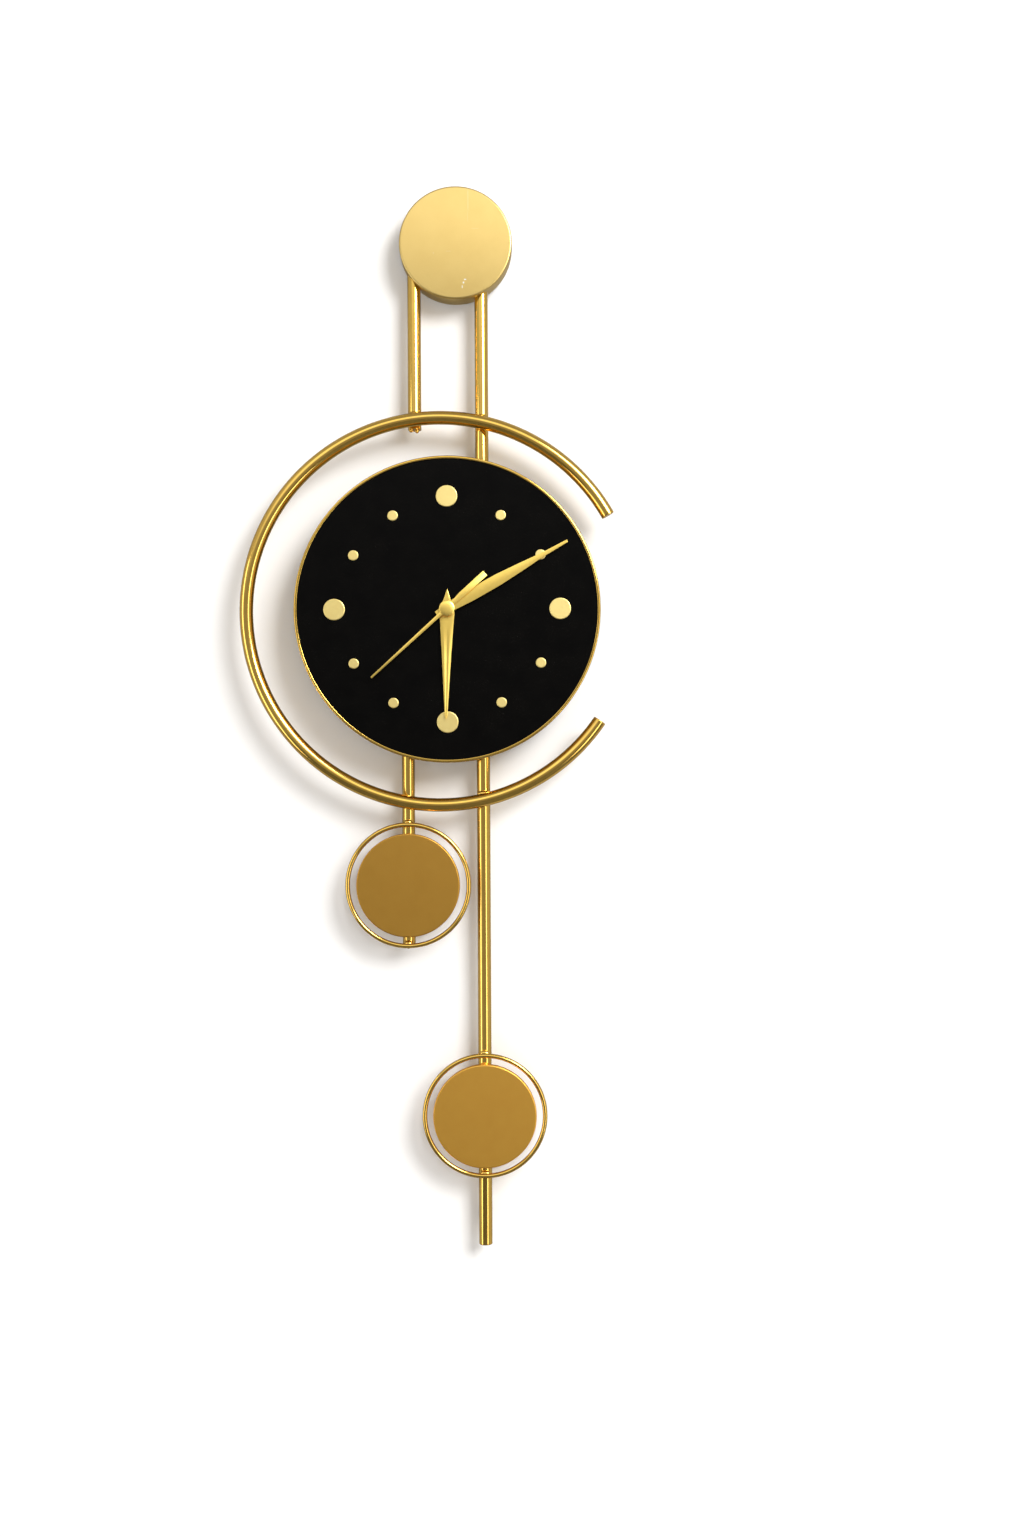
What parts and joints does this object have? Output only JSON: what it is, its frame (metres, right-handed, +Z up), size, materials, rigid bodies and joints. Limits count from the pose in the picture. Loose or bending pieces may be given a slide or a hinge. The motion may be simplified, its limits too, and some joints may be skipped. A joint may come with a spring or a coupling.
{
  "type": "pendulum wall clock",
  "caption": "Wall clock with a round black dial in a large open ring, carried on a long tube under a round cap, with a swinging ring-and-disc pendulum.",
  "frame": {"origin": "on the back face of the wall hanger, where it lies on the wall, behind the centre of the round top cap", "axes": "+Y into the wall, so the dial faces -Y; +Z up along the tubes; +X to the right for someone who looks at the dial"},
  "size_m": [0.322, 0.0479, 0.9144],
  "materials": {
    "polished_gold": "polished gold plating on steel tube and wire",
    "pale_gold": "satin pale gold plating",
    "bronze_gold": "brushed bronze-gold plating",
    "hand_gold": "gold anodised, satin with a polished ridge",
    "black_lacquer": "gloss black lacquer on sheet steel",
    "zinc_steel": "zinc plated steel",
    "movement_brass": "plain brass",
    "case_plastic": "moulded black plastic",
    "gear_plastic": "natural white moulded plastic",
    "coil_copper": "enamelled copper wire",
    "board_green": "green lacquered circuit board",
    "battery_sleeve": "plain dark blue sleeve",
    "rubber": "black rubber"
  },
  "bodies": {
    "clock_body": {"top_cap": "pale_gold", "cap_back_plate": "zinc_steel", "wall_hanger": "zinc_steel", "wall_bumper": "rubber", "long_tube": "polished_gold", "short_tube": "polished_gold", "c_ring": "polished_gold", "c_ring_plug_upper": "polished_gold", "c_ring_plug_lower": "polished_gold", "lower_ring": "polished_gold", "lower_disc": "bronze_gold", "dial_plate": "black_lacquer", "bezel_ring": "polished_gold", "hour_marker_01": "pale_gold", "hour_marker_02": "pale_gold", "hour_marker_03": "pale_gold", "hour_marker_04": "pale_gold", "hour_marker_05": "pale_gold", "hour_marker_06": "pale_gold", "hour_marker_07": "pale_gold", "hour_marker_08": "pale_gold", "hour_marker_09": "pale_gold", "hour_marker_10": "pale_gold", "hour_marker_11": "pale_gold", "hour_marker_12": "pale_gold", "dial_bracket": "zinc_steel", "bracket_screw_left": "zinc_steel", "bracket_screw_right": "zinc_steel", "movement_front_case": "case_plastic", "movement_rear_cover": "case_plastic", "battery": "battery_sleeve", "battery_contact_positive": "zinc_steel", "battery_contact_negative": "zinc_steel", "circuit_board": "board_green", "drive_coil": "coil_copper", "stator": "zinc_steel", "train_bridge": "gear_plastic", "fixing_bush": "movement_brass", "fixing_nut": "movement_brass", "pivot_pin": "zinc_steel", "pivot_clip": "zinc_steel", "pendulum_drive_case": "case_plastic", "pendulum_coil": "coil_copper"},
    "rotor": {"rotor": "gear_plastic"},
    "intermediate_wheel": {"intermediate_wheel": "gear_plastic"},
    "second_group": {"second_wheel": "gear_plastic", "second_hand": "hand_gold"},
    "third_wheel": {"third_wheel": "gear_plastic"},
    "centre_wheel": {"centre_wheel": "gear_plastic"},
    "minute_group": {"minute_pipe": "movement_brass", "minute_hand": "hand_gold"},
    "motion_group": {"motion_wheel": "gear_plastic", "set_knob": "case_plastic"},
    "hour_group": {"hour_wheel": "movement_brass", "hour_hand": "hand_gold"},
    "pendulum": {"pendulum_tube": "polished_gold", "hanger_eye": "zinc_steel", "magnet_lever": "gear_plastic", "pendulum_ring": "polished_gold", "pendulum_disc": "bronze_gold"}
  },
  "joints": [
    {"name": "second_hand_turn", "type": "hinge", "parent": "clock_body", "child": "second_group", "pos_m": [-0.0081, -0.03, -0.3172], "axis": [0, 1, 0], "continuous": true},
    {"name": "rotor_turn", "type": "hinge", "parent": "clock_body", "child": "rotor", "pos_m": [-0.02235, -0.03, -0.31679], "axis": [0, 1, 0], "continuous": true},
    {"name": "intermediate_wheel_turn", "type": "hinge", "parent": "clock_body", "child": "intermediate_wheel", "pos_m": [-0.01683, -0.03, -0.31216], "axis": [0, 1, 0], "continuous": true},
    {"name": "third_wheel_turn", "type": "hinge", "parent": "clock_body", "child": "third_wheel", "pos_m": [-0.00046, -0.03, -0.30956], "axis": [0, 1, 0], "continuous": true},
    {"name": "centre_wheel_turn", "type": "hinge", "parent": "clock_body", "child": "centre_wheel", "pos_m": [-0.0081, -0.03, -0.3172], "axis": [0, 1, 0], "continuous": true},
    {"name": "minute_hand_turn", "type": "hinge", "parent": "clock_body", "child": "minute_group", "pos_m": [-0.0081, -0.03, -0.3172], "axis": [0, 1, 0], "continuous": true},
    {"name": "set_knob_turn", "type": "hinge", "parent": "clock_body", "child": "motion_group", "pos_m": [0.00318, -0.03, -0.3213], "axis": [0, 1, 0], "continuous": true},
    {"name": "hour_hand_turn", "type": "hinge", "parent": "clock_body", "child": "hour_group", "pos_m": [-0.0081, -0.03, -0.3172], "axis": [0, 1, 0], "continuous": true},
    {"name": "pendulum_swing", "type": "hinge", "parent": "clock_body", "child": "pendulum", "pos_m": [-0.0435, -0.03, -0.362], "axis": [0, 1, 0], "range_deg": [-4, 4]}
  ],
  "couplings": [
    {"joint": "rotor_turn", "follows": "second_hand_turn", "ratio": 30},
    {"joint": "intermediate_wheel_turn", "follows": "second_hand_turn", "ratio": -6},
    {"joint": "third_wheel_turn", "follows": "second_hand_turn", "ratio": -0.13333},
    {"joint": "centre_wheel_turn", "follows": "second_hand_turn", "ratio": 0.016667},
    {"joint": "set_knob_turn", "follows": "minute_hand_turn", "ratio": -0.33333},
    {"joint": "hour_hand_turn", "follows": "minute_hand_turn", "ratio": 0.083333}
  ]
}
